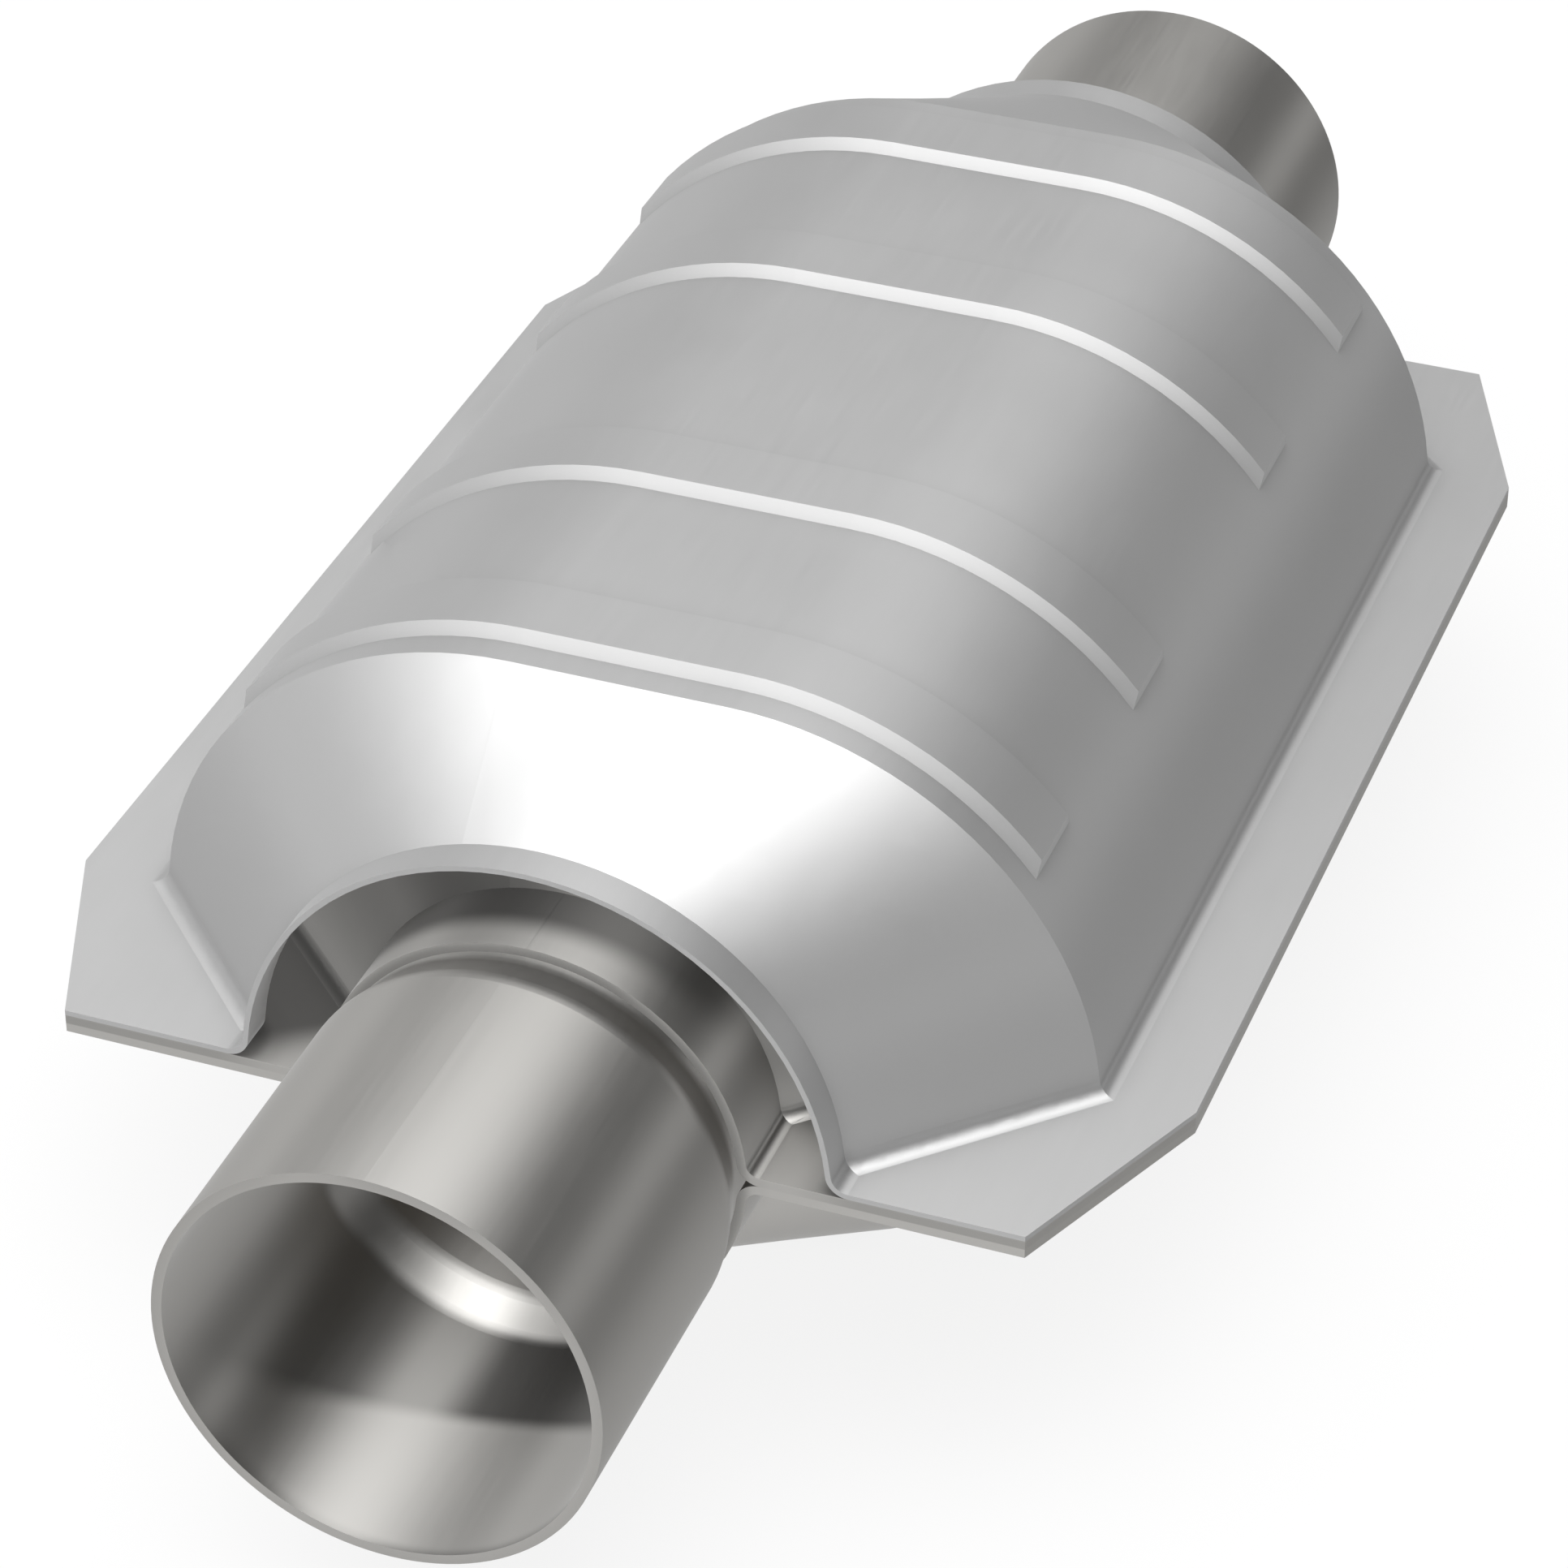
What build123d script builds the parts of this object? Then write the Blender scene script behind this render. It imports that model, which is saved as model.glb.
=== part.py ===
from build123d import *
import os
from math import asin, cos, degrees, radians, sqrt, tan

os.makedirs("parts", exist_ok=True)

# An oval two-brick catalytic converter: two pressed shells with a common flange, a pipe in each
# end, and a ribbed heat shield over the upper shell.
# Millimetres. Gas flows along +Y, Z is up, and Z = 0 is the flat underside of the lower shell.
# The two ends mirror each other, so every station is a distance from the middle at Y = 0.

# Bricks, the mats round them and the wire seals at the mats' ends
brick_width = 114.3
brick_height = 76.2
brick_length = 63.5
brick_gap = 19.0
mat_thickness = 4.0
seal_length = 4.0
seal_chamfer = 1.0

# Joint where a mat's ends meet under the brick, one end's tongue in the other's slot
mat_joint_gap = 1.0
mat_tongue_length = 14.0
mat_tongue_width = 18.0

# Shells: sheet, room past each brick, cone, neck and the bend at the flange
shell_sheet = 1.4
brick_end_room = 4.0
shell_cone_length = 30.0
neck_length = 13.4
shell_foot_radius = 2.0

# Locating groove pressed into both shells between the bricks
groove_width = 14.0
groove_depth = 2.6
groove_end_rise = 9.0

# Pipes: a straight stub, a taper and a reduced end pressed into the neck
pipe_od = 63.5
pipe_wall = 1.5
pipe_stub = 45.2
pipe_taper = 6.5
pipe_reduced_od = 59.8
pipe_stand_off = 1.1
pipe_insert = 12.0
pipe_bend_radius = 8.0

# Flange: its margin outside the shield, and its cut corners
flange_margin = 13.6
corner_cut_x = 13.5
corner_cut_y = 33.5

# Heat shield: crown, collar round the pipe, cone and the bend at the flange
shield_sheet = 0.8
shield_flat = 32.0
shield_corner_radius = 54.8
shield_rise = 50.8
collar_radius = 43.5
collar_length = 5.4
shield_cone_length = 27.7
shield_foot_radius = 2.5

# Ribs pressed out of the shield, in two pairs
rib_width = 14.6
rib_height = 1.6
rib_end_rise = 30.0
inner_rib_spacing = 63.4
rib_to_shoulder = 4.5

# Half the angle that the crown of a round end section takes, opposite the flat crown of the body
crown_angle = 15.0

# Levels
shell_radius = brick_height / 2 + mat_thickness + shell_sheet
seam_z = shell_radius
shell_flange_z = seam_z + shell_sheet
shield_flange_z = shell_flange_z + shield_sheet
shield_centre_z = shield_flange_z + shield_rise - shield_corner_radius

# Stations along the flow
body_half = brick_length + brick_gap / 2 + brick_end_room
shell_cone_half = body_half + shell_cone_length
flange_half = shell_cone_half + neck_length
collar_half = flange_half - collar_length
shield_half = collar_half - shield_cone_length
outer_rib_y = shield_half - rib_to_shoulder - rib_width / 2
rib_stations = (-outer_rib_y, -inner_rib_spacing / 2, inner_rib_spacing / 2, outer_rib_y)

# Widths
oval_flat = brick_width - brick_height
shield_foot_x = shield_flat / 2 + sqrt(shield_corner_radius**2 - (shield_flange_z - shield_centre_z) ** 2)
flange_half_width = shield_foot_x + flange_margin

# How far a cutter passes the face that it opens, and a bead's root passes the surface it stands on
overshoot = 5.0
bead_root = 0.4

# Half widths that hold the foot of each dome and leave out the flange's edge
shell_reach = oval_flat / 2 + shell_radius + 1
shield_reach = shield_foot_x + 1


def body_outline(y, flat, radius, centre_z, foot_z):
    """Closed section across the flow at y: a flat crown, two corner arcs and a straight foot."""
    half = flat / 2
    foot_angle = degrees(asin((foot_z - centre_z) / radius))
    foot_x = half + radius * cos(radians(foot_angle))
    with BuildLine(Plane.XZ.offset(-y)):
        crown = Line((half, centre_z + radius), (-half, centre_z + radius))
        left = CenterArc((-half, centre_z), radius, 90, 90 - foot_angle)
        foot = Line((-foot_x, foot_z), (foot_x, foot_z))
        right = CenterArc((half, centre_z), radius, foot_angle, 90 - foot_angle)
    return Face(Wire([crown, left, foot, right]))


def round_outline(y, radius, centre_z, foot_z):
    """The same four sides on a round section, with a short arc for the crown."""
    foot_angle = degrees(asin((foot_z - centre_z) / radius))
    foot_x = radius * cos(radians(foot_angle))
    side = 90 - crown_angle - foot_angle
    with BuildLine(Plane.XZ.offset(-y)):
        crown = CenterArc((0, centre_z), radius, 90 - crown_angle, 2 * crown_angle)
        left = CenterArc((0, centre_z), radius, 90 + crown_angle, side)
        foot = Line((-foot_x, foot_z), (foot_x, foot_z))
        right = CenterArc((0, centre_z), radius, foot_angle, side)
    return Face(Wire([crown, left, foot, right]))


def dome(flat, radius, centre_z, body_end, end_radius, cone_end, tip, foot_z):
    """Half of an oval body with a cone and a round end at each end of the flow."""
    extrude(body_outline(-body_end, flat, radius, centre_z, foot_z), amount=-2 * body_end)
    for side in (-1, 1):
        shoulder = body_outline(side * body_end, flat, radius, centre_z, foot_z)
        mouth = round_outline(side * cone_end, end_radius, seam_z, foot_z)
        loft([shoulder, mouth], ruled=True)
        extrude(mouth, amount=-side * (tip - cone_end))


def beads(stations, flat, radius, centre_z, end_z, end_shift, wide, root, top):
    """Trapezoids swept over the crown of an oval, from root to top off its surface, with sloping ends."""
    half = flat / 2
    end_angle = degrees(asin((end_z - centre_z) / radius) + end_shift / radius)
    narrow = wide - 2 * abs(top)
    for y in stations:
        with BuildLine(Plane.XZ.offset(-y)) as path:
            CenterArc((half, centre_z), radius, end_angle, 90 - end_angle)
            Line((half, centre_z + radius), (-half, centre_z + radius))
            CenterArc((-half, centre_z), radius, 90, 90 - end_angle)
        with BuildSketch(Plane(origin=path.line @ 0, x_dir=(0, -1, 0), z_dir=path.line % 0)) as profile:
            with BuildLine():
                Polyline(
                    (-wide / 2, root),
                    (wide / 2, root),
                    (wide / 2, 0),
                    (narrow / 2, top),
                    (-narrow / 2, top),
                    (-wide / 2, 0),
                    close=True,
                )
            make_face()
        sweep(profile.sketch, path=path.line)


def slope_bead_ends(tool, height):
    """Slope both ends of every bead down to the surface that it stands on."""
    ends = tool.edges().filter_by(Axis.Y).group_by(Edge.length)[0].group_by(Axis.Z)[0]
    chamfer(ends, height)


def flange_slab(level, thickness, spare=0.0):
    """Octagonal slab below level, the outline that all three sheets share."""
    x = flange_half_width + spare
    y = flange_half + spare
    with BuildSketch(Plane.XY.offset(level)) as outline:
        with BuildLine():
            Polyline(
                (x, y - corner_cut_y),
                (x - corner_cut_x, y),
                (corner_cut_x - x, y),
                (-x, y - corner_cut_y),
                (-x, corner_cut_y - y),
                (corner_cut_x - x, -y),
                (x - corner_cut_x, -y),
                (x, corner_cut_y - y),
                close=True,
            )
        make_face()
    extrude(outline.sketch, amount=-thickness)


def round_foot(block, level, reach, radius):
    """Round the inside corner where a dome stands on its slab."""
    foot = (
        block.edges()
        .filter_by(lambda edge: abs(edge.bounding_box().min.Z - level) < 0.01)
        .filter_by(lambda edge: abs(edge.bounding_box().max.Z - level) < 0.01)
        .filter_by(lambda edge: abs(edge.center().X) < reach)
        .filter_by(lambda edge: edge.bounding_box().size.Y > 0.1)
    )
    fillet(foot, radius)


def oval_plane(y):
    """Plane across the flow at y, with its origin on the pipes' axis."""
    return Plane(origin=(0, y, seam_z), x_dir=(1, 0, 0), z_dir=(0, 1, 0))


# Groove between the bricks, as cut into the outside of the shell and as left standing in its space
shell_inset = shell_sheet * tan(radians(22.5))
groove_end_z = shell_flange_z + groove_end_rise
with BuildPart() as outer_groove:
    beads(
        [0],
        oval_flat,
        shell_radius,
        seam_z,
        groove_end_z,
        0,
        groove_width,
        bead_root,
        -groove_depth,
    )
    slope_bead_ends(outer_groove, groove_depth)

with BuildPart() as inner_groove:
    beads(
        [0],
        oval_flat,
        shell_radius - shell_sheet,
        seam_z,
        groove_end_z,
        -shell_inset,
        groove_width + 2 * shell_inset,
        bead_root,
        -groove_depth,
    )
    slope_bead_ends(inner_groove, groove_depth)

# Shells: pressed upper half with its necks, and the lower half as its mirror image
shell_end_radius = pipe_reduced_od / 2 + shell_sheet
with BuildPart() as shell_space:
    dome(
        oval_flat,
        shell_radius - shell_sheet,
        seam_z,
        body_half - shell_inset,
        shell_end_radius - shell_sheet,
        shell_cone_half - shell_inset,
        flange_half + overshoot,
        seam_z,
    )
    flange_slab(seam_z, overshoot, overshoot)
    round_foot(shell_space, seam_z, shell_reach, shell_foot_radius + shell_sheet)
    add(inner_groove.part, mode=Mode.SUBTRACT)

with BuildPart() as upper_shell:
    dome(
        oval_flat,
        shell_radius,
        seam_z,
        body_half,
        shell_end_radius,
        shell_cone_half,
        flange_half,
        seam_z,
    )
    flange_slab(shell_flange_z, shell_sheet)
    round_foot(upper_shell, shell_flange_z, shell_reach, shell_foot_radius)
    add(outer_groove.part, mode=Mode.SUBTRACT)
    add(shell_space.part, mode=Mode.SUBTRACT)

with BuildPart() as lower_shell:
    mirror(upper_shell.part, about=Plane.XY.offset(seam_z))

upper_shell.part.label = "upper_shell"
lower_shell.part.label = "lower_shell"
export_step(upper_shell.part, "parts/upper_shell.step")
export_step(lower_shell.part, "parts/lower_shell.step")

# Heat shield's four ribs: their outsides, and the hollows under them
shield_inset = shield_sheet * tan(radians(22.5))
rib_end_z = shield_flange_z + rib_end_rise
with BuildPart() as outer_ribs:
    beads(
        rib_stations,
        shield_flat,
        shield_corner_radius,
        shield_centre_z,
        rib_end_z,
        0,
        rib_width,
        -bead_root,
        rib_height,
    )
    slope_bead_ends(outer_ribs, rib_height)

with BuildPart() as inner_ribs:
    beads(
        rib_stations,
        shield_flat,
        shield_corner_radius - shield_sheet,
        shield_centre_z,
        rib_end_z,
        shield_inset,
        rib_width - 2 * shield_inset,
        -bead_root,
        rib_height,
    )
    slope_bead_ends(inner_ribs, rib_height)

# Heat shield, lying on the upper shell's flange
with BuildPart() as shield_space:
    dome(
        shield_flat,
        shield_corner_radius - shield_sheet,
        shield_centre_z,
        shield_half - shield_inset,
        collar_radius - shield_sheet,
        collar_half - shield_inset,
        flange_half + overshoot,
        shell_flange_z,
    )
    flange_slab(shell_flange_z, overshoot, overshoot)
    round_foot(shield_space, shell_flange_z, shield_reach, shield_foot_radius + shield_sheet)
    add(inner_ribs.part)

with BuildPart() as heat_shield:
    dome(
        shield_flat,
        shield_corner_radius,
        shield_centre_z,
        shield_half,
        collar_radius,
        collar_half,
        flange_half,
        shell_flange_z,
    )
    flange_slab(shield_flange_z, shield_sheet)
    round_foot(heat_shield, shield_flange_z, shield_reach, shield_foot_radius)
    add(outer_ribs.part)
    add(shield_space.part, mode=Mode.SUBTRACT)

heat_shield.part.label = "heat_shield"
export_step(heat_shield.part, "parts/heat_shield.step")

# Pipe, brick, mat and end seals of each end
pipe_radius = pipe_od / 2
pipe_reduced_radius = pipe_reduced_od / 2
taper_end = flange_half + pipe_stand_off
taper_start = taper_end + pipe_taper
pipe_mouth = taper_start + pipe_stub
pipe_end = flange_half - pipe_insert
for side, end in ((-1, "inlet"), (1, "outlet")):
    with BuildPart() as pipe:
        with BuildSketch(Plane.YZ) as wall:
            with BuildLine():
                Polyline(
                    (side * pipe_mouth, seam_z + pipe_radius),
                    (side * taper_start, seam_z + pipe_radius),
                    (side * taper_end, seam_z + pipe_reduced_radius),
                    (side * pipe_end, seam_z + pipe_reduced_radius),
                    (side * pipe_end, seam_z + pipe_reduced_radius - pipe_wall),
                    (side * taper_end, seam_z + pipe_reduced_radius - pipe_wall),
                    (side * taper_start, seam_z + pipe_radius - pipe_wall),
                    (side * pipe_mouth, seam_z + pipe_radius - pipe_wall),
                    close=True,
                )
            make_face()
            corners = wall.vertices().group_by(Axis.X)
            fillet(corners[1] + corners[2], pipe_bend_radius)
        revolve(axis=Axis((0, 0, seam_z), (0, 1, 0)))
    pipe.part.label = f"{end}_pipe"
    export_step(pipe.part, f"parts/{end}_pipe.step")

    brick_y = side * (brick_gap + brick_length) / 2
    with BuildPart() as brick:
        with BuildSketch(oval_plane(brick_y)):
            SlotOverall(brick_width, brick_height)
        extrude(amount=brick_length / 2, both=True)
    brick.part.label = f"{end}_brick"
    export_step(brick.part, f"parts/{end}_brick.step")

    with BuildPart() as mat:
        with BuildSketch(oval_plane(brick_y)):
            SlotOverall(brick_width + 2 * mat_thickness, brick_height + 2 * mat_thickness)
            SlotOverall(brick_width, brick_height, mode=Mode.SUBTRACT)
        extrude(amount=brick_length / 2 - seal_length, both=True)
        with BuildSketch() as joint:
            with BuildLine():
                Polyline(
                    (-mat_tongue_length / 2, brick_y - brick_length / 2),
                    (-mat_tongue_length / 2, brick_y - mat_tongue_width / 2),
                    (mat_tongue_length / 2, brick_y - mat_tongue_width / 2),
                    (mat_tongue_length / 2, brick_y + mat_tongue_width / 2),
                    (-mat_tongue_length / 2, brick_y + mat_tongue_width / 2),
                    (-mat_tongue_length / 2, brick_y + brick_length / 2),
                )
            trace(line_width=mat_joint_gap)
        extrude(amount=seam_z, mode=Mode.SUBTRACT)
    mat.part.label = f"{end}_mat"
    export_step(mat.part, f"parts/{end}_mat.step")

    for edge, place in ((-1, "front"), (1, "rear")):
        with BuildPart() as seal:
            with BuildSketch(oval_plane(brick_y + edge * (brick_length - seal_length) / 2)):
                SlotOverall(brick_width + 2 * mat_thickness, brick_height + 2 * mat_thickness)
                SlotOverall(brick_width, brick_height, mode=Mode.SUBTRACT)
            extrude(amount=seal_length / 2, both=True)
            chamfer(seal.edges().filter_by(Plane.XZ), seal_chamfer)
        seal.part.label = f"{end}_{place}_seal"
        export_step(seal.part, f"parts/{end}_{place}_seal.step")
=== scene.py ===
import math

import bmesh
import bpy
from mathutils import Matrix, Vector


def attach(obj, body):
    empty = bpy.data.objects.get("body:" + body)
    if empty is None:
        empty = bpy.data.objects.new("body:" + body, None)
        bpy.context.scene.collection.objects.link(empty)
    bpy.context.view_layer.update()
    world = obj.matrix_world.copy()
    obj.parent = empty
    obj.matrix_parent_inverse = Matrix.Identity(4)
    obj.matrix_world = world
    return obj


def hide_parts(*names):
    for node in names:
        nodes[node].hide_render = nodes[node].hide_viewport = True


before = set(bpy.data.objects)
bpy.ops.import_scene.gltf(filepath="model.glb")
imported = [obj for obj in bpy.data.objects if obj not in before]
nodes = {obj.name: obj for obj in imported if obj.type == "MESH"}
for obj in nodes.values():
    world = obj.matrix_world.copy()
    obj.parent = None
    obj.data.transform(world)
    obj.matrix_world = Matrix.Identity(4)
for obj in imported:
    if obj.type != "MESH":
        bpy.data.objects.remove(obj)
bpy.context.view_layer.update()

# Sizes of the shells, shield and pipes, in metres
SEAM_Z = 0.0435
SHELL_SHEET = 0.0014
PIPE_MOUTH_Y = 0.1732
PIPE_STUB = 0.0452
PIPE_BORE = 0.03025
COLLAR_FRONT_Y = 0.1204
COLLAR_BORE = 0.0427
SHIELD_FLAT = 0.032
SHIELD_ARC_Z = 0.0417
SHIELD_FOOT_TOP_Z = 0.0487
SHIELD_HALF = 0.0873

# Sizes of the bricks and their cells, in metres
BRICK_WIDTH = 0.1143
BRICK_HEIGHT = 0.0762
BRICK_LENGTH = 0.0635
BRICK_GAP = 0.019
BRICK_SKIN = 0.0008
BRICK_ARC_STEPS = 64
CELL_PITCH = 0.00127
CELL_WALL = 0.0002
CELL_DEPTH = 0.012
ON_AXIS = 1e-9

# Steel. Its tone varies by this share either side, in broad patches and in a grain stretched along the flow.
STEEL_TONE = 0.60
SHELL_WARMTH = 0.038
TONE_SPREAD = 0.025
PATCH_SIZE = 0.03
PATCH_SHARE = 0.6
PATCH_BLUR = 0.05
GRAIN_SIZE = 0.0006
GRAIN_STRETCH = (1, 0.04, 1)
GRAIN_BLUR = 0.06
GRAIN_HEIGHT = 0.000001
# Below white, this makes steel darker at grazing angles than real steel is, so that the crown shows against white.
EDGE_TINT = (0.6, 0.6, 0.6, 1)
SURFACE_IOR = 1.5
# Painted shade in creases and gaps: reach in metres, openness at which the darkening is full, openness at which it
# ends, and its strength
PAINTED_CREASE_SHADE = ((0.005, 0.93, 1.0, 0.06), (0.003, 0.55, 0.88, 0.5))

# Shade painted into the base colour by the place on the part: the photograph's key light, from this direction, doesn't
# reach deep into the bore or under the collar. The paint is at both ends and stays there under any other light.
KEY_LIGHT = (-0.167, -0.412, 0.895)
BORE_SHADE = 0.85
BORE_SHADE_BLUR = 0.004
BORE_SHADE_FALL = 1.0
TAPER_SHADE_SHARE = 0.6
TAPER_BLUR = 0.001
INWARD_BLUR = 0.005
STREAK_X = -0.0075
STREAK_HALF = (0.002, 0.009)
STREAK_SHADE_SHARE = 0.45
NECK_SHADE = 0.87
NECK_SHADE_BLUR = 0.006
NECK_SHADE_FALL = 1.5
CUT_EDGE_SHADE = 0.05
CUT_EDGE_BLUR = 0.0001
CUT_EDGE_TOP = 0.0003
UPRIGHT = (0.1, 0.3)

# Where the shield's arc normal takes over: how well it agrees with the mesh's own, and the blends at foot and cone
ARC_AGREES = (0.95, 0.965)
FOOT_BLEND = 0.0005
CONE_BLEND = (0.0006, 0.0001)

# Camera, from the photograph's perspective
IMAGE_SIZE = 1932
CAMERA_PLACE = Vector((0.2322, -0.6456, 0.4992))
CAMERA_TARGET = Vector((0.010109, -0.036618, 0.047119))
CAMERA_ROLL = 0.005357
FOCAL_PIXELS = 6599.17
CENTRE_PIXEL = (1003.21, 982.70)
SENSOR = 36.0
NEAREST_SEEN = 0.01
FURTHEST_SEEN = 50.0

FLOOR_SIZE = 30.0
FLOOR_WHITE = 0.85
FLOOR_PAPER = (0.84, 0.84, 0.84, 1)

# Studio: the room's pale light, a low white wall all round, and soft panels by azimuth, elevation, narrowness and
# strength. A strength below zero is a black card. The panels and the steels' values are fitted to the photograph's
# tones.
WALL_FOOT = -0.6
WALL_TOP = 5.6
WALL_FADE = 1.5
ROOM_LIGHT = 0.42
DARKEST_CORNER = 0.02
SOFT_PANELS = (
    (26, 51, 6.5, 1.69),
    (148, -58, 2.5, 0.54),
    (-26, -27, 4.2, 0.79),
    (40, 33, 2.1, -2.83),
    (39, -6, 4.5, 1.07),
    (93, 88, 3.9, 3.70),
)


class Value:
    """A number that changes over a surface. Arithmetic on it adds Math nodes."""

    def __init__(self, tree, socket):
        self.tree = tree
        self.socket = socket

    def math(self, operation, *others, first=None):
        node = self.tree.nodes.new("ShaderNodeMath")
        node.operation = operation
        for i, term in enumerate((first if first is not None else self, *others)):
            if isinstance(term, Value):
                self.tree.links.new(term.socket, node.inputs[i])
            else:
                node.inputs[i].default_value = term
        return Value(self.tree, node.outputs[0])

    def __add__(self, other):
        return self.math("ADD", other)

    def __sub__(self, other):
        return self.math("SUBTRACT", other)

    def __rsub__(self, other):
        return self.math("SUBTRACT", self, first=other)

    def __mul__(self, other):
        return self.math("MULTIPLY", other)

    def __pow__(self, other):
        return self.math("POWER", other)

    __radd__ = __add__
    __rmul__ = __mul__


class Patterns:
    """Nodes in one tree, made by a call and wired by name."""

    def __init__(self, tree):
        self.tree = tree

    def node(self, kind, settings=None, output=0, **inputs):
        """Output of a new node, with its settings made first and then its inputs, by name or n0, n1 for a place."""
        node = self.tree.nodes.new(kind)
        for key, value in (settings or {}).items():
            setattr(node, key, value)
        for key, value in inputs.items():
            socket = node.inputs[int(key[1:])] if key[1:].isdigit() else node.inputs[key.replace("_", " ")]
            self.feed(socket, value)
        return Value(self.tree, node.outputs[output])

    def feed(self, socket, value):
        if isinstance(value, Value):
            value = value.socket
        if isinstance(value, bpy.types.NodeSocket):
            self.tree.links.new(value, socket)
        else:
            socket.default_value = value

    def mix(self, factor, dark, light):
        """Colour between dark and light, each three numbers or a colour from another node."""
        dark, light = (c if isinstance(c, Value) else (*c, 1) for c in (dark, light))
        return self.node("ShaderNodeMix", {"data_type": "RGBA"}, output=2, n0=factor, n6=dark, n7=light)

    def step(self, value, low, high):
        """0 below low, 1 above high, and smooth between them."""
        settings = {"interpolation_type": "SMOOTHSTEP"}
        return self.node("ShaderNodeMapRange", settings, Value=value, From_Min=low, From_Max=high)

    def dot(self, one, other):
        return self.node("ShaderNodeVectorMath", {"operation": "DOT_PRODUCT"}, output=1, n0=one, n1=other)

    def unit(self, vector):
        return self.node("ShaderNodeVectorMath", {"operation": "NORMALIZE"}, n0=vector)

    def rays(self, *kinds):
        """1 for light rays of these kinds."""
        first, *others = (self.node("ShaderNodeLightPath", output=kind) for kind in kinds)
        for other in others:
            first = first.math("MAXIMUM", other)
        return first


class Finish(Patterns):
    """A material with one Principled shader, and patterns that read Object coordinates."""

    def __init__(self, name, metallic=0.0):
        self.material = bpy.data.materials.new(name)
        self.material.use_nodes = True
        super().__init__(self.material.node_tree)
        self.shader = self.tree.nodes["Principled BSDF"]
        self.shader.inputs["Metallic"].default_value = metallic
        self.shader.inputs["IOR"].default_value = SURFACE_IOR
        self.place = self.node("ShaderNodeTexCoord", output="Object")

    @property
    def normal(self):
        """The mesh's own normal."""
        return self.node("ShaderNodeTexCoord", output="Normal")

    def noise(self, size, stretch=(1, 1, 1), detail=2.0, roughness=0.5):
        """Noise with features of this size in metres, from 0 to 1."""
        return self.node(
            "ShaderNodeTexNoise",
            Vector=self.node("ShaderNodeMapping", Vector=self.place, Scale=stretch),
            Scale=1 / size,
            Detail=detail,
            Roughness=roughness,
        )

    def part_of_place(self, axis):
        """One coordinate of the place on the part, 0 for x, 1 for y and 2 for z."""
        return self.node("ShaderNodeSeparateXYZ", output=axis, Vector=self.place)

    def facing_along(self, direction):
        """How much the surface faces along a direction."""
        return self.dot(self.normal, direction)

    def open_sky(self, reach):
        """1 where nothing is within reach of the surface, less in creases and gaps."""
        return self.node("ShaderNodeAmbientOcclusion", {"samples": 6}, output=1, Distance=reach)

    def set(self, name, value):
        self.feed(self.shader.inputs[name], value)

    def bump(self, height, distance, **normal):
        self.set("Normal", self.node("ShaderNodeBump", Height=height, Distance=distance, **normal))


def grey(level, warmth=0.0):
    return (level * (1 + warmth / 2), level, level * (1 - warmth))


def steel(name, warmth, roughness, metallic, creases=(), shade=None, true_normal=None):
    """Satin sheet steel: a faint rolled grain, broad faint patches, painted shade in creases and gaps, and shade
    painted by place.
    """
    finish = Finish(name, metallic=metallic)
    patches = finish.noise(PATCH_SIZE, detail=3.0)
    grain = finish.noise(GRAIN_SIZE, GRAIN_STRETCH)
    unshaded = finish.mix(
        patches * PATCH_SHARE + grain * (1 - PATCH_SHARE),
        grey(STEEL_TONE * (1 - TONE_SPREAD), warmth),
        grey(STEEL_TONE * (1 + TONE_SPREAD), warmth),
    )
    # Painted shade: the base colour darkens where the surface is closed in, in creases and gaps, and where the shade
    # function paints it by place.
    bright = 1
    for reach, deepest, shallowest, strength in creases:
        closed_in = 1 - finish.step(finish.open_sky(reach), deepest, shallowest)
        bright = (1 - closed_in * strength) * bright
    if shade:
        bright = shade(finish) * bright
    finish.set("Base Color", finish.mix(bright, grey(0.0), unshaded))
    finish.set("Specular Tint", EDGE_TINT)
    finish.set("Roughness", roughness + (grain - 0.5) * GRAIN_BLUR + (patches - 0.5) * PATCH_BLUR)
    finish.bump(grain, GRAIN_HEIGHT, **({"Normal": true_normal(finish)} if true_normal else {}))
    return finish.material


def beyond_key_light(finish, radius, front, blur, fall):
    """How far a place is out of the key light that comes in by a round opening, most on what faces that light."""
    depth = front - finish.part_of_place(1).math("ABSOLUTE")
    across = finish.part_of_place(0) + depth * (KEY_LIGHT[0] / -KEY_LIGHT[1])
    up = finish.part_of_place(2) - SEAM_Z + depth * (KEY_LIGHT[2] / -KEY_LIGHT[1])
    out_of_reach = finish.step((across * across + up * up) ** 0.5, radius - blur, radius + blur)
    return out_of_reach * finish.facing_along(KEY_LIGHT).math("MAXIMUM", 0.0) ** fall


def shield_normal(finish):
    """Normal of the shield's true arc on its crown and sides, where the mesh's own wavers on long facets."""
    across, along, height = (finish.part_of_place(axis) for axis in (0, 1, 2))
    from_arc_centre = across - across.math("MAXIMUM", -SHIELD_FLAT / 2).math("MINIMUM", SHIELD_FLAT / 2)
    outward = finish.unit(finish.node("ShaderNodeCombineXYZ", X=from_arc_centre, Z=height - SHIELD_ARC_Z))
    agrees = finish.facing_along(outward)
    outward = finish.node("ShaderNodeVectorMath", {"operation": "SCALE"}, n0=outward, n3=agrees.math("SIGN"))
    on_arc = finish.step(agrees.math("ABSOLUTE"), *ARC_AGREES)
    above_foot = finish.step(height, SHIELD_FOOT_TOP_Z, SHIELD_FOOT_TOP_Z + FOOT_BLEND)
    cone_from, cone_to = (SHIELD_HALF - blend for blend in CONE_BLEND)
    off_cone = 1 - finish.step(along.math("ABSOLUTE"), cone_from, cone_to)
    body = on_arc * above_foot * off_cone
    mixed = finish.node("ShaderNodeMix", {"data_type": "VECTOR"}, output=1, n0=body, n4=finish.normal, n5=outward)
    return finish.unit(mixed)


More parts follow.
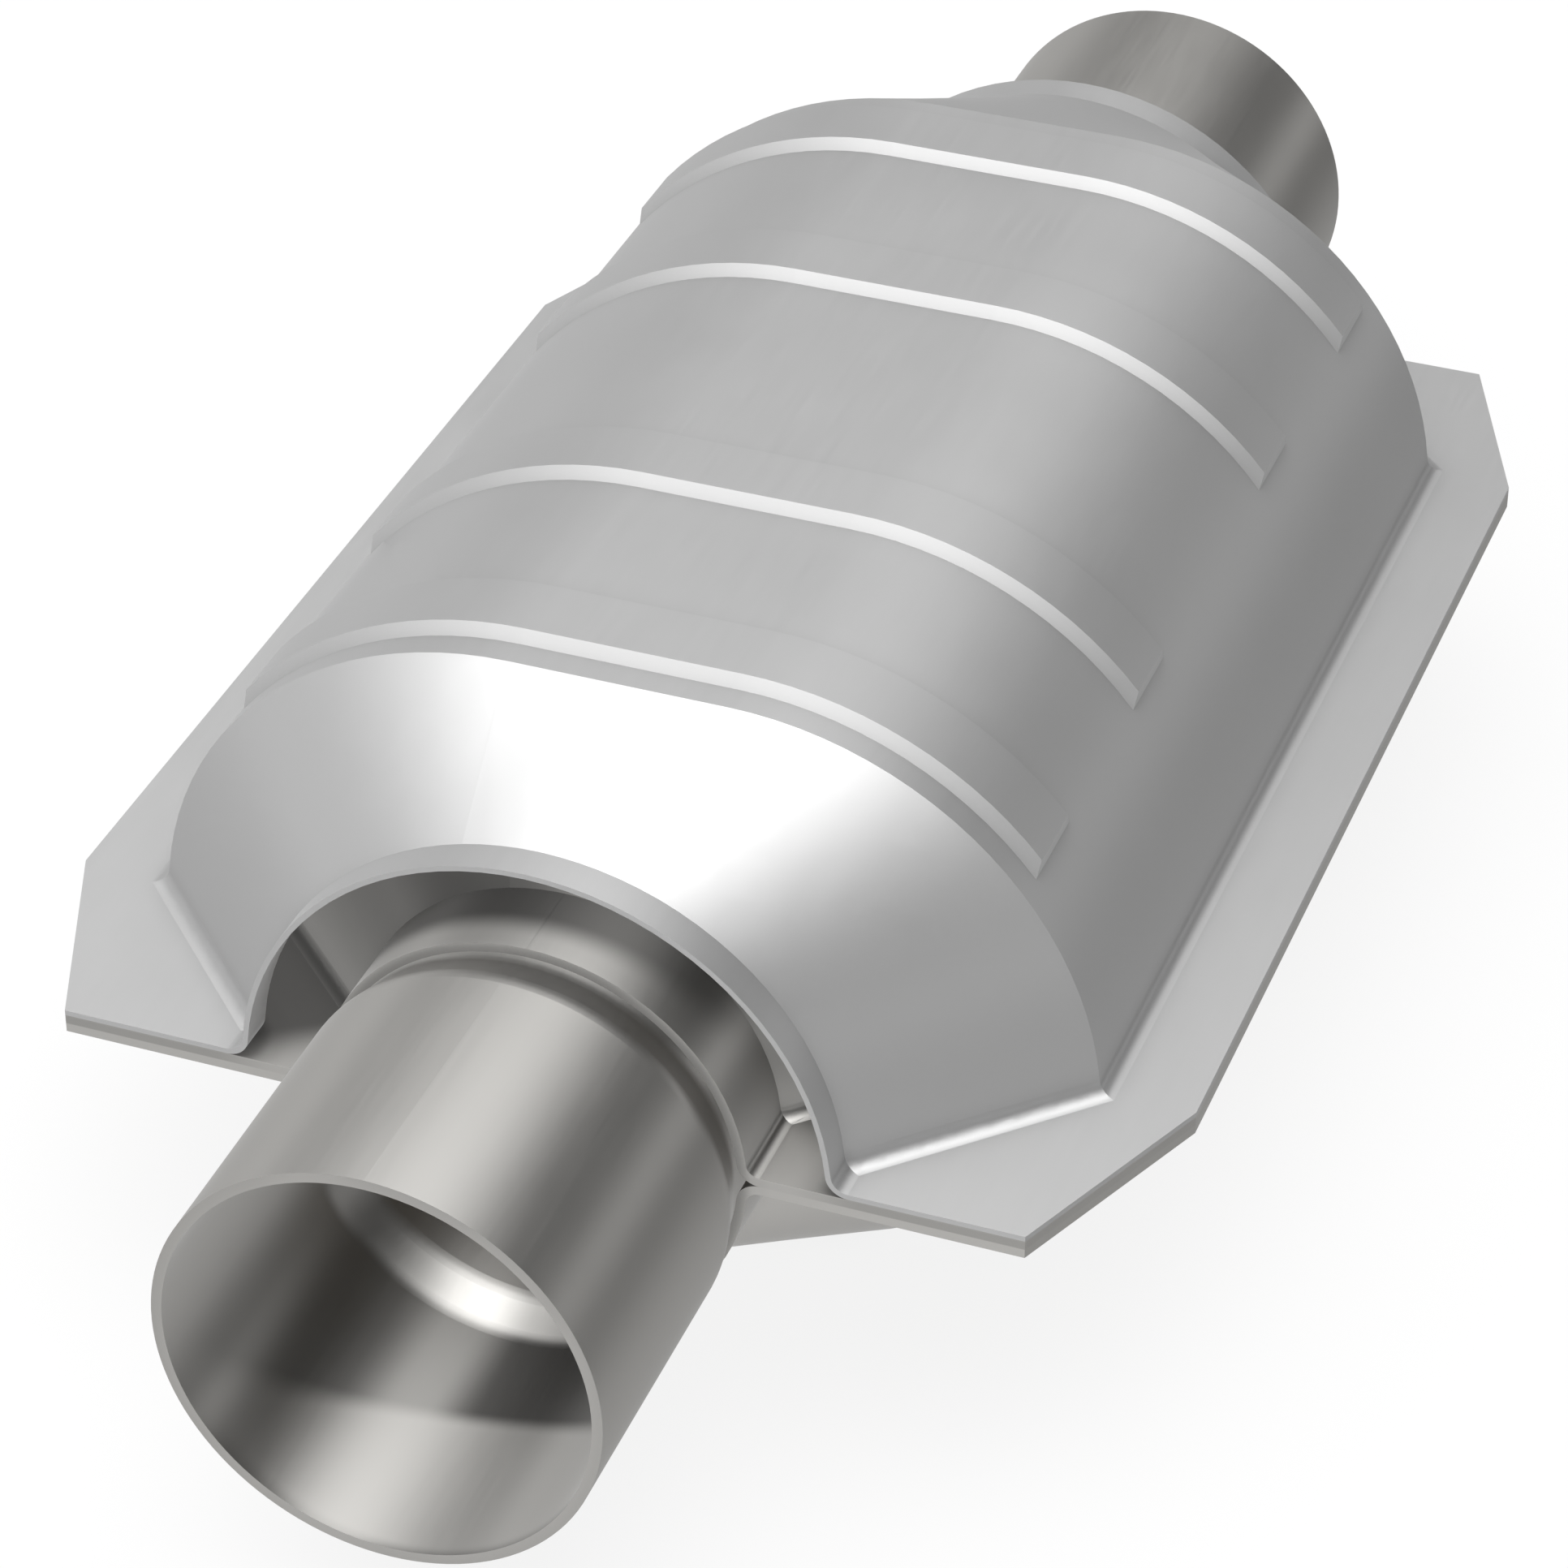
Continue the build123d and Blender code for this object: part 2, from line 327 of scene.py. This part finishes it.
def shell_shade(finish):
    """Shade under the shield's collar, and a slightly darker cut edge on the upper shell than on those next to it."""
    height = finish.part_of_place(2)
    sheet_top = SEAM_Z + SHELL_SHEET
    upper = finish.step(height, SEAM_Z - CUT_EDGE_BLUR, SEAM_Z + CUT_EDGE_BLUR)
    edge = upper * (1 - finish.step(height, sheet_top - CUT_EDGE_TOP, sheet_top - CUT_EDGE_BLUR))
    upright = 1 - finish.step(finish.facing_along((0, 0, 1)).math("ABSOLUTE"), *UPRIGHT)
    neck = upper * beyond_key_light(finish, COLLAR_BORE, COLLAR_FRONT_Y, NECK_SHADE_BLUR, NECK_SHADE_FALL)
    return (1 - edge * upright * CUT_EDGE_SHADE) * (1 - neck * NECK_SHADE)


def bore_shade(finish):
    """Shade deep in the pipe's bore, weaker on its taper and in a streak along the bottom."""
    from_axis = finish.node("ShaderNodeVectorMath", {"operation": "SUBTRACT"}, n0=finish.place, n1=(0, 0, SEAM_Z))
    flat = finish.node("ShaderNodeVectorMath", {"operation": "MULTIPLY"}, n0=from_axis, n1=(1, 0, 1))
    inside = 1 - finish.step(finish.facing_along(flat), -INWARD_BLUR, INWARD_BLUR)
    from_middle = finish.part_of_place(1).math("ABSOLUTE")
    taper_y = PIPE_MOUTH_Y - PIPE_STUB
    straight = finish.step(from_middle, taper_y - TAPER_BLUR, taper_y + TAPER_BLUR)
    from_streak = finish.step((finish.part_of_place(0) - STREAK_X).math("ABSOLUTE"), *STREAK_HALF)
    shade = beyond_key_light(finish, PIPE_BORE, PIPE_MOUTH_Y, BORE_SHADE_BLUR, BORE_SHADE_FALL) * BORE_SHADE
    shade = shade * (STREAK_SHADE_SHARE + from_streak * (1 - STREAK_SHADE_SHARE))
    return 1 - inside * (TAPER_SHADE_SHARE + straight * (1 - TAPER_SHADE_SHARE)) * shade


def ceramic(name):
    """Matt washcoat with a fine speckle."""
    finish = Finish(name)
    speckle = finish.noise(0.0012, detail=3.0)
    finish.set("Base Color", finish.mix(speckle, (0.30, 0.25, 0.19), (0.44, 0.38, 0.30)))
    finish.set("Roughness", 0.85 + (speckle - 0.5) * 0.1)
    finish.bump(speckle, 0.00002)
    return finish.material


def fibre(name):
    """Swelling mat: short fibres pressed flat, with dark flakes."""
    finish = Finish(name)
    strands = finish.noise(0.0008, detail=4.0, roughness=0.7)
    flakes = finish.node("ShaderNodeTexVoronoi", Vector=finish.place, Scale=900.0)
    colour = finish.mix(strands * 0.7 + flakes * 0.3, (0.42, 0.36, 0.26), (0.78, 0.73, 0.62))
    finish.set("Base Color", colour)
    finish.set("Roughness", 0.9 + (strands - 0.5) * 0.1)
    finish.bump(strands, 0.0001)
    return finish.material


def knitted_wire(name):
    """Knitted wire rope pressed into a ring."""
    finish = Finish(name, metallic=1.0)
    to_edge = {"feature": "DISTANCE_TO_EDGE"}
    loops = finish.node("ShaderNodeTexVoronoi", to_edge, Vector=finish.place, Scale=1100.0)
    wire = (loops * 6.0).math("MINIMUM", 1.0)
    finish.set("Base Color", finish.mix(wire, (0.42, 0.41, 0.39), (0.09, 0.085, 0.08)))
    finish.set("Roughness", 0.4 + wire * 0.2)
    finish.bump(1 - wire, 0.0002)
    return finish.material


def dress(node, material):
    """Gives a node its finish. Nothing reflects it, because the photograph's steel shows no reflection of itself."""
    mesh = nodes[node].data
    mesh.materials.clear()
    mesh.materials.append(material)
    nodes[node].visible_glossy = False


SHIELD_STEEL = steel("satin_shield", 0.0, 0.433, 0.76, PAINTED_CREASE_SHADE, true_normal=shield_normal)
SHELL_STEEL = steel("satin_shell", SHELL_WARMTH, 0.361, 0.92, PAINTED_CREASE_SHADE, shade=shell_shade)
PIPE_STEEL = steel("satin_pipe", SHELL_WARMTH, 0.379, 0.97, shade=bore_shade)
CERAMIC = ceramic("washcoat")
MAT_FIBRE = fibre("swelling_mat")
SEAL_WIRE = knitted_wire("knitted_wire")

dress("heat_shield", SHIELD_STEEL)
for half in ("upper", "lower"):
    dress(f"{half}_shell", SHELL_STEEL)
for end in ("inlet", "outlet"):
    dress(f"{end}_pipe", PIPE_STEEL)
    dress(f"{end}_mat", MAT_FIBRE)
    for place in ("front", "rear"):
        dress(f"{end}_{place}_seal", SEAL_WIRE)


def oval_ring(bm, width, height, y):
    """Closed ring of vertices round an oval across the flow, and its edges."""
    ring = bmesh.ops.create_circle(bm, segments=BRICK_ARC_STEPS, radius=height / 2)["verts"]
    shift = (width - height) / 2
    for v in ring:
        side = 1 if v.co.x > ON_AXIS else -1 if v.co.x < -ON_AXIS else 0
        v.co = Vector((v.co.x + side * shift, y, SEAM_Z + v.co.y))
    return list({e for v in ring for e in v.link_edges})


def inside_oval(x, z, width, height):
    run = (width - height) / 2
    return math.hypot(max(abs(x) - run, 0.0), z - SEAM_Z) < height / 2


def honeycomb(end, side):
    """Brick whose outer end face has its open square cells. The far face is plain, because it faces the other brick."""
    face_y = side * (BRICK_GAP / 2 + BRICK_LENGTH)
    bm = bmesh.new()
    across = int(BRICK_WIDTH / CELL_PITCH) + 1
    up = int(BRICK_HEIGHT / CELL_PITCH) + 1
    bmesh.ops.create_grid(bm, x_segments=across, y_segments=up, size=0.5)
    to_face = Matrix.Translation((0, face_y, SEAM_Z)) @ Matrix.Rotation(math.radians(90), 4, "X")
    size = Matrix.Diagonal((across * CELL_PITCH, up * CELL_PITCH, 1, 1))
    bmesh.ops.transform(bm, matrix=to_face @ size, verts=bm.verts)
    inner = (BRICK_WIDTH - 2 * BRICK_SKIN, BRICK_HEIGHT - 2 * BRICK_SKIN)
    outside = [f for f in bm.faces if not all(inside_oval(v.co.x, v.co.z, *inner) for v in f.verts)]
    bmesh.ops.delete(bm, geom=outside, context="FACES")
    cells = list(bm.faces)
    stairs = [e for e in bm.edges if e.is_boundary]
    rim = oval_ring(bm, BRICK_WIDTH, BRICK_HEIGHT, face_y)
    bmesh.ops.triangle_fill(bm, use_beauty=True, edges=stairs + rim)
    skin = bmesh.ops.extrude_edge_only(bm, edges=rim)["geom"]
    skin_verts = [g for g in skin if isinstance(g, bmesh.types.BMVert)]
    bmesh.ops.translate(bm, vec=(0, -side * BRICK_LENGTH, 0), verts=skin_verts)
    bmesh.ops.contextual_create(bm, geom=[g for g in skin if isinstance(g, bmesh.types.BMEdge)])
    bmesh.ops.inset_individual(bm, faces=cells, thickness=CELL_WALL / 2, use_even_offset=True)
    floors = bmesh.ops.extrude_discrete_faces(bm, faces=cells)["faces"]
    floor_verts = list({v for f in floors for v in f.verts})
    bmesh.ops.translate(bm, vec=(0, -side * CELL_DEPTH, 0), verts=floor_verts)
    bmesh.ops.recalc_face_normals(bm, faces=bm.faces)
    mesh = bpy.data.meshes.new(f"{end}_honeycomb")
    bm.to_mesh(mesh)
    bm.free()
    mesh.materials.append(CERAMIC)
    piece = bpy.data.objects.new(f"{end}_honeycomb", mesh)
    bpy.context.scene.collection.objects.link(piece)
    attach(piece, "root")
    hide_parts(f"{end}_brick")


honeycomb("inlet", -1)
honeycomb("outlet", 1)


def make_camera():
    data = bpy.data.cameras.new("camera")
    camera = bpy.data.objects.new("camera", data)
    bpy.context.scene.collection.objects.link(camera)
    forward = (CAMERA_TARGET - CAMERA_PLACE).normalized()
    right = forward.cross(Vector((0, 0, 1))).normalized()
    up = right.cross(forward)
    turned = right * math.cos(CAMERA_ROLL) + up * math.sin(CAMERA_ROLL)
    axes = Matrix((turned, turned.cross(forward), -forward)).transposed()
    camera.matrix_world = Matrix.Translation(CAMERA_PLACE) @ axes.to_4x4()
    data.sensor_width = SENSOR
    data.lens = FOCAL_PIXELS / IMAGE_SIZE * SENSOR
    data.shift_x = (IMAGE_SIZE / 2 - CENTRE_PIXEL[0]) / IMAGE_SIZE
    data.shift_y = (CENTRE_PIXEL[1] - IMAGE_SIZE / 2) / IMAGE_SIZE
    data.clip_start = NEAREST_SEEN
    data.clip_end = FURTHEST_SEEN
    bpy.context.scene.camera = camera


make_camera()


def make_floor():
    """Pale paper, white to the eye, that keeps the part's shadow. Steel reflects the studio and not this floor."""
    bm = bmesh.new()
    bmesh.ops.create_grid(bm, x_segments=1, y_segments=1, size=FLOOR_SIZE / 2)
    mesh = bpy.data.meshes.new("floor")
    bm.to_mesh(mesh)
    bm.free()
    floor = bpy.data.objects.new("floor", mesh)
    bpy.context.scene.collection.objects.link(floor)
    paper = Finish("floor_paper")
    paper.set("Base Color", FLOOR_PAPER)
    paper.set("Roughness", 0.9)
    white = paper.node("ShaderNodeEmission", Color=(1, 1, 1, 1))
    seen = paper.rays("Is Camera Ray", "Is Glossy Ray", "Is Transmission Ray")
    surface = paper.node("ShaderNodeMixShader", n0=seen * FLOOR_WHITE, n1=paper.shader.outputs[0], n2=white)
    paper.feed(paper.tree.nodes["Material Output"].inputs["Surface"], surface)
    mesh.materials.append(paper.material)
    # Is Glossy Ray above has no effect while this hides the floor from glossy rays.
    floor.visible_glossy = False


make_floor()


def direction(azimuth, elevation):
    """Unit vector towards a light. Azimuth turns from +Y towards +X, in degrees."""
    azimuth, elevation = math.radians(azimuth), math.radians(elevation)
    flat = math.cos(elevation)
    return (math.sin(azimuth) * flat, math.cos(azimuth) * flat, math.sin(elevation))


def height_at(elevation):
    return math.sin(math.radians(elevation))


def light_studio():
    """A pale room with a low white wall all round and soft light panels."""
    world = bpy.data.worlds.new("studio")
    bpy.context.scene.world = world
    world.use_nodes = True
    room = Patterns(world.node_tree)
    towards = room.unit(room.node("ShaderNodeTexCoord", output="Generated"))
    light = ROOM_LIGHT
    for azimuth, elevation, narrowness, strength in SOFT_PANELS:
        facing = room.dot(towards, direction(azimuth, elevation))
        light = light + strength * ((facing - 1) * narrowness).math("EXPONENT")
    light = light.math("MAXIMUM", DARKEST_CORNER)
    height = room.node("ShaderNodeSeparateXYZ", output=2, Vector=towards)
    foot = room.step(height, height_at(WALL_FOOT - WALL_FADE), height_at(WALL_FOOT))
    top = room.step(height, height_at(WALL_TOP), height_at(WALL_TOP + WALL_FADE))
    wall = foot * (1 - top)
    background = world.node_tree.nodes["Background"]
    room.feed(background.inputs["Color"], room.mix(wall, light, (1, 1, 1)))


light_studio()

scene = bpy.context.scene
scene.view_settings.view_transform = "Standard"
